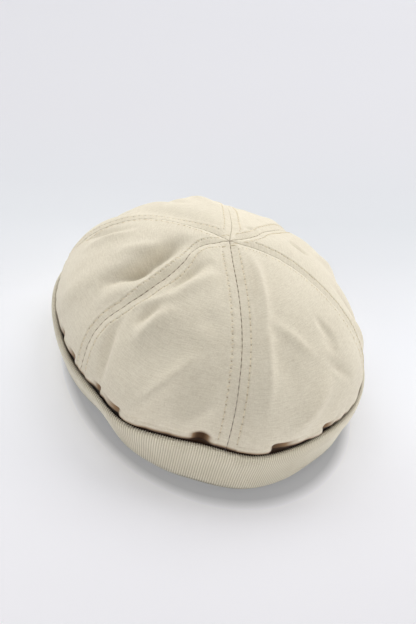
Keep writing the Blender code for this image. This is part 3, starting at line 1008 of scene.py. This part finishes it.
def surface_places(gore, across, down):
    """Points on the cloth with the directions along their line and off the cloth."""
    step = 0.0004
    point, _ = gore.surface(across, down)
    beside, _ = gore.surface(across + step, down)
    below, _ = gore.surface(across, down + step)
    side = beside - point
    along = below - point
    up = np.cross(along, side)
    return point, along / np.linalg.norm(along, axis=1)[:, None], up / np.linalg.norm(up, axis=1)[:, None]


def tip_points(gore):
    """The few stitches that carry the long seam's row across a gore's tip."""
    down = gore.first_way(TIP_CLEAR)
    width = float(gore.width(down))
    count = max(1, int(round(width / STITCH_PITCH)))
    across = (np.arange(count) + 0.5) * width / count
    point, along, up = surface_places(gore, across, np.full(count, down))
    return point, np.cross(up, along), up


def topstitching(gores, finish):
    """All rows of topstitches as one piece of thread."""
    parts = [row_points(gore, side) for gore in gores for side in (0, 1)]
    parts += [tip_points(gore) for gore in gores if not any(gore.through)]
    points, along, up = (np.concatenate(column) for column in zip(*parts))
    source = rounded_mesh("stitch_places", points, [], {})
    for label, values in (("along", along), ("up", up)):
        attribute = source.data.attributes.new(label, "FLOAT_VECTOR", "POINT")
        attribute.data.foreach_set("vector", values.astype(np.float32).ravel())
    return grown(source, stitch_tree(), {"Thread": finish}, "topstitching")


class Value:
    """A shader socket that takes Python's arithmetic, each sum adding its Math node."""

    def __init__(self, finish, socket):
        self.finish = finish
        self.socket = socket

    def math(self, operation, *others):
        sockets = dict(enumerate((self, *others)))
        return self.finish.node("ShaderNodeMath", {"operation": operation}, sockets)

    def reflected(self, operation, other):
        return self.finish.node("ShaderNodeMath", {"operation": operation}, {0: other, 1: self})

    def __add__(self, other):
        return self.math("ADD", other)

    def __radd__(self, other):
        return self.reflected("ADD", other)

    def __sub__(self, other):
        return self.math("SUBTRACT", other)

    def __rsub__(self, other):
        return self.reflected("SUBTRACT", other)

    def __mul__(self, other):
        return self.math("MULTIPLY", other)

    def __rmul__(self, other):
        return self.reflected("MULTIPLY", other)

    def __truediv__(self, other):
        return self.math("DIVIDE", other)

    def __pow__(self, other):
        return self.math("POWER", other)

    def __abs__(self):
        return self.math("ABSOLUTE")

    def sine(self):
        return self.math("SINE")

    def step(self, start, end):
        """From 0 at the start to 1 at the end, smoothly."""
        sockets = {"Value": self, "From Min": start, "From Max": end}
        return self.finish.node("ShaderNodeMapRange", {"interpolation_type": "SMOOTHSTEP"}, sockets)


class Finish:
    """A material under construction, with its Principled shader."""

    def __init__(self, name, roughness, sheen=0.0):
        self.material = bpy.data.materials.new(name)
        self.material.use_nodes = True
        self.tree = self.material.node_tree
        self.shader = self.tree.nodes["Principled BSDF"]
        self.shader.inputs["Roughness"].default_value = roughness
        self.shader.inputs["Sheen Weight"].default_value = sheen
        self.shader.inputs["Specular IOR Level"].default_value = SPECULAR

    def node(self, kind, settings=None, sockets=None, output=0):
        return Value(self, add_node(self.tree, kind, settings, sockets).outputs[output])

    def mix(self, share, first, second):
        return self.node("ShaderNodeMix", {"data_type": "RGBA"}, {0: share, 6: first, 7: second}, output=2)

    def ramp(self, value, stops):
        """A colour between named stops, each a place from 0 to 1 and a colour."""
        made = self.tree.nodes.new("ShaderNodeValToRGB")
        for place, colour in stops[1:-1]:
            made.color_ramp.elements.new(place).color = colour
        made.color_ramp.elements[0].color = stops[0][1]
        made.color_ramp.elements[-1].color = stops[-1][1]
        feed(self.tree, made.inputs[0], value)
        return Value(self, made.outputs[0])

    def uv(self, name):
        """The two numbers of a UV map, and the map itself."""
        pair = self.node("ShaderNodeUVMap", {"uv_map": name})
        split = self.node("ShaderNodeSeparateXYZ", sockets={0: pair})
        return split, Value(self, split.socket.node.outputs[1]), pair

    def noise(self, vector, scale, detail=2.0):
        return self.node("ShaderNodeTexNoise", sockets={"Vector": vector, "Scale": scale, "Detail": detail})

    def stretched(self, vector, scale):
        return self.node("ShaderNodeMapping", sockets={"Vector": vector, "Scale": scale})

    def place(self):
        return self.node("ShaderNodeTexCoord", output=3)

    def shade(self, name):
        """A number kept on the mesh's points."""
        return self.node("ShaderNodeAttribute", {"attribute_name": name}, output=2)

    def bump(self, height, distance, strength=1.0, under=None):
        sockets = {"Height": height, "Distance": distance, "Strength": strength}
        if under is not None:
            sockets["Normal"] = under
        return self.node("ShaderNodeBump", sockets=sockets)

    def painted(self, **values):
        """The material, once its shader has what changes over the surface, such as Base_Color."""
        for name, value in values.items():
            feed(self.tree, self.shader.inputs[name.replace("_", " ")], value)
        return self.material


def canvas_finish():
    """Plain-woven cotton: uneven threads, the dark joint of each seam, its needle holes and the painted brown
    shade of the tucked edge and its pockets."""
    finish = Finish("beige canvas", 0.9, sheen=0.12)
    across, down, cloth = finish.uv("cloth")
    off_row, stitch, _ = finish.uv("stitched")
    place = finish.place()
    weft = finish.noise(finish.stretched(cloth, WEFT_SCALE), 1.0, 3.0)
    warp = finish.noise(finish.stretched(cloth, WARP_SCALE), 1.0, 2.0)
    fleck = finish.noise(place, FLECK_SCALE, 1.0)
    blotch = finish.noise(place, BLOTCH_SCALE, 3.0)
    tone = 0.5
    for streak, share in zip((weft, warp, fleck, blotch), CLOTH_TONES):
        tone = tone + (streak - 0.5) * share
    colour = finish.mix(tone, CANVAS_DEEP, CANVAS_PALE)
    to_seam = off_row + STITCH_OFFSET
    beat = JOINT_BEAT[0] + JOINT_BEAT[1] * (stitch * (2 * np.pi)).sine()
    line = (1.0 - to_seam.step(*JOINT_LINE)) * beat * finish.shade("joint")
    colour = finish.mix(line, colour, SEAM_DARK)
    nearest = (stitch + 0.5).math("FRACT") - 0.5
    apart = ((nearest * STITCH_PITCH) ** 2.0 + off_row ** 2.0) ** 0.5
    colour = finish.mix((1.0 - apart.step(*HOLE_EDGE)) * HOLE_TINT, colour, HOLE_DARK)
    painted_shade = finish.shade("painted_shade") * 2.0  # painted shade: a warm fringe up to 1, then brown up to 2
    colour = finish.mix(painted_shade.math("MINIMUM", 1.0), colour, PAINTED_FRINGE_SHADE)
    colour = finish.mix((painted_shade - 1.0).math("MAXIMUM", 0.0), colour, SHADE_BROWN)
    over_warp = (across * (np.pi / THREAD_PITCH)).sine()
    over_weft = (down * (np.pi / THREAD_PITCH)).sine()
    over = 0.5 + 0.5 * over_warp * over_weft
    weave = over * abs(over_warp) + (1.0 - over) * abs(over_weft)
    height = weave * CLOTH_BUMPS[0]
    for streak, share in zip((weft, warp, fleck), CLOTH_BUMPS[1:]):
        height = height + streak * share
    normal = finish.bump(height, CLOTH_BUMP)
    normal = finish.bump(apart.step(0.0, DIMPLE), DIMPLE_DEPTH, DIMPLE_STRENGTH, normal)
    return finish.painted(Base_Color=colour, Normal=normal)


def knit_finish():
    """Fine rib knit: pale crests of looped yarn with painted shade in the grooves between them, and painted
    shade inside its fold.
    """
    finish = Finish("beige rib knit", 0.95, sheen=0.15)
    rib, climb, _ = finish.uv("knit")
    place = finish.place()
    crest = 1.0 - abs((rib * np.pi).math("COSINE"))
    blotch = finish.noise(place, KNIT_BLOTCH_SCALE, 2.0)
    yarn = finish.noise(place, YARN_SCALE, 2.0)
    # The grooves get painted shade, on top of the real shade of the cut grooves
    colour = finish.mix(crest.step(*CREST_EDGE), KNIT_GROOVE_SHADE_AND_DARK_TONE, KNIT_CREST)
    colour = finish.mix(blotch.step(*KNIT_BLOTCH_EDGE) * KNIT_BLOTCH_TINT, colour, KNIT_GROOVE_SHADE_AND_DARK_TONE)
    slant = abs(rib.math("FRACT") - 0.5) * LOOP_SLANT
    loops = ((climb / COURSE_PITCH + slant) * (2 * np.pi)).sine()
    tint = (0.5 - 0.5 * loops) * LOOP_TINT + (yarn - 0.5) * YARN_TINT
    colour = finish.mix(tint, colour, KNIT_GROOVE_SHADE_AND_DARK_TONE)
    # Painted shade inside the fold and over the band's top
    colour = finish.mix(finish.shade("painted_shade"), colour, SHADE_BROWN)
    return finish.painted(Base_Color=colour, Normal=finish.bump(loops * LOOP_BUMP + yarn, KNIT_BUMP))


def thread_finish():
    """Twisted cotton thread, a little yellower than the cloth."""
    finish = Finish("beige thread", 0.75)
    place = finish.place()
    tone = finish.noise(place, THREAD_TONE_SCALE, 1.0)
    colour = finish.mix(tone.step(*THREAD_TONE_EDGE), THREAD_COLOUR, THREAD_DEEP)
    twist = finish.noise(place, THREAD_BUMP_SCALE, 1.0)
    return finish.painted(Base_Color=colour, Normal=finish.bump(twist, THREAD_BUMP))


def floor_finish():
    """A pale sweep that glows with painted light, with painted light and shade and a painted contact shadow
    in its colour.
    """
    finish = Finish("studio floor", 0.8)
    side = finish.node("ShaderNodeSeparateXYZ", sockets={0: finish.place()})
    front = Value(finish, side.socket.node.outputs[1])
    behind = front * FLOOR_BEHIND[1] + side * FLOOR_BEHIND[0]
    # Painted light and shade: the floor's colour changes with the distance behind the cap
    first, last = FLOOR_TINT_AND_PAINTED_SHADING[0][0], FLOOR_TINT_AND_PAINTED_SHADING[-1][0]
    stops = [((metres - first) / (last - first), tone) for metres, tone in FLOOR_TINT_AND_PAINTED_SHADING]
    colour = finish.ramp((behind - first) / (last - first), stops)
    # A painted contact shadow darkens the floor round the hem
    across = (side + (CENTRE[0] - CONTACT_RIGHT)) * (1.0 / HEM_HALF_WIDTH)
    along = (front + (CENTRE[1] + CONTACT_FORWARD)) * (1.0 / HEM_HALF_LENGTH)
    clear = (((across * across + along * along) ** 0.5) - 1.0) * (1.0 / CONTACT_REACH)
    clear = clear.math("MAXIMUM", 0.0).math("MINIMUM", 1.0)
    shade = clear * (1.0 - CONTACT_SHADE) + CONTACT_SHADE
    scaled = finish.node("ShaderNodeVectorMath", {"operation": "SCALE"}, {"Vector": colour, "Scale": shade})
    # Painted light: the floor glows, less near the cap than far out
    far = (((side * side + front * front) ** 0.5) - GLOW_REACH[0]) / (GLOW_REACH[1] - GLOW_REACH[0])
    glow = finish.ramp(far, ((0.0, GLOW_NEAR), (1.0, GLOW_COLOUR)))
    finish.shader.inputs["Emission Strength"].default_value = FLOOR_GLOW
    return finish.painted(Base_Color=scaled, Emission_Color=glow)


def studio_floor():
    """A round floor whose rim sweeps up."""
    turn = 2 * np.pi * np.arange(FLOOR_SIDES) / FLOOR_SIDES
    circle = np.stack([np.cos(turn), np.sin(turn), np.zeros(FLOOR_SIDES)], axis=1)
    points = np.concatenate([circle * radius + (0.0, 0.0, height) for radius, height in FLOOR_SWEEP])
    faces = [tuple(range(FLOOR_SIDES))]
    for ring in range(len(FLOOR_SWEEP) - 1):
        start = ring * FLOOR_SIDES
        for side in range(FLOOR_SIDES):
            following = (side + 1) % FLOOR_SIDES
            inner = (start + side, start + following)
            faces.append((*inner[::-1], start + FLOOR_SIDES + side, start + FLOOR_SIDES + following))
    floor = rounded_mesh("studio_floor", points, faces, {})
    floor.data.materials.append(floor_finish())
    return floor


def soft_light(name, azimuth, elevation, power, lit):
    """A square softbox aimed at the cap, which lights the things it is given."""
    lamp = bpy.data.lights.new(name, "AREA")
    lamp.size = LIGHT_SIZE
    lamp.energy = power
    held = bpy.data.objects.new(name, lamp)
    bpy.context.scene.collection.objects.link(held)
    turn, rise = np.radians([azimuth, elevation])
    place = Vector((np.cos(rise) * np.cos(turn), np.cos(rise) * np.sin(turn), np.sin(rise))) * LIGHT_DISTANCE
    held.location = place
    held.rotation_euler = (-place).to_track_quat("-Z", "Y").to_euler()
    held.light_linking.receiver_collection = lit


def studio_light(floor):
    lit = {}
    for label, state in (("cap", "EXCLUDE"), ("floor", "INCLUDE")):
        lit[label] = bpy.data.collections.new("lights_" + label)
        lit[label].objects.link(floor)
        lit[label].collection_objects[0].light_linking.link_state = state
    world = bpy.data.worlds.new("studio")
    world.use_nodes = True
    world.node_tree.nodes["Background"].inputs["Strength"].default_value = 0.0
    bpy.context.scene.world = world
    for azimuth, elevation, on_floor, on_cap in LIGHTS:
        for label, power in (("floor", on_floor), ("cap", on_cap)):
            if power:
                name = f"soft_{azimuth}_{elevation}_{label}"
                soft_light(name, azimuth, elevation, power, lit[label])


def photo_camera():
    """The camera at the photograph's angle: the aimed point falls on its own pixel of the frame."""
    elevation, azimuth, roll = np.radians([CAMERA_ELEVATION, CAMERA_AZIMUTH, CAMERA_ROLL])
    back = np.array(
        [np.sin(azimuth) * np.cos(elevation), -np.cos(azimuth) * np.cos(elevation), np.sin(elevation)]
    )
    place = np.array([0.0, 0.0, AIM_HEIGHT]) - CENTRE + back * CAMERA_DISTANCE
    level = np.cross(-back, (0, 0, 1))
    level /= np.linalg.norm(level)
    rise = np.cross(level, -back)
    right = np.cos(roll) * level + np.sin(roll) * rise
    up = np.cos(roll) * rise - np.sin(roll) * level
    look = (
        -back
        + (FRAME_WIDTH / 2 - CAMERA_AIM[0]) / CAMERA_FOCAL_PIXELS * right
        - (FRAME_HEIGHT / 2 - CAMERA_AIM[1]) / CAMERA_FOCAL_PIXELS * up
    )
    look /= np.linalg.norm(look)
    right -= look * (right @ look)
    right /= np.linalg.norm(right)
    up = np.cross(right, look)
    lens = bpy.data.cameras.new("photo_camera")
    lens.sensor_fit = "VERTICAL"
    lens.sensor_height = CAMERA_SENSOR
    lens.lens = CAMERA_FOCAL_PIXELS * CAMERA_SENSOR / FRAME_HEIGHT
    camera = bpy.data.objects.new("photo_camera", lens)
    bpy.context.scene.collection.objects.link(camera)
    rows = [[*row, at] for row, at in zip(zip(right, up, -look), place)]
    camera.matrix_world = Matrix(rows + [[0, 0, 0, 1]])
    bpy.context.scene.camera = camera


def main():
    bpy.context.scene.view_settings.view_transform = "Standard"
    photo_camera()
    studio_light(studio_floor())
    canvas = canvas_finish()
    gores = [Gore(*row) for row in GORES]
    for gore in gores:
        piece, flat, area = sew_gore(gore, canvas)
        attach(piece, "root")
        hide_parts("crown_panel_" + gore.name)
    cuff = grown(knit_ring(), rib_tree(), {"Knit": knit_finish()}, "rib_knit_cuff")
    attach(cuff, "root")
    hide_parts("knit_cuff")
    stitches = topstitching(gores, thread_finish())
    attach(stitches, "root")


main()
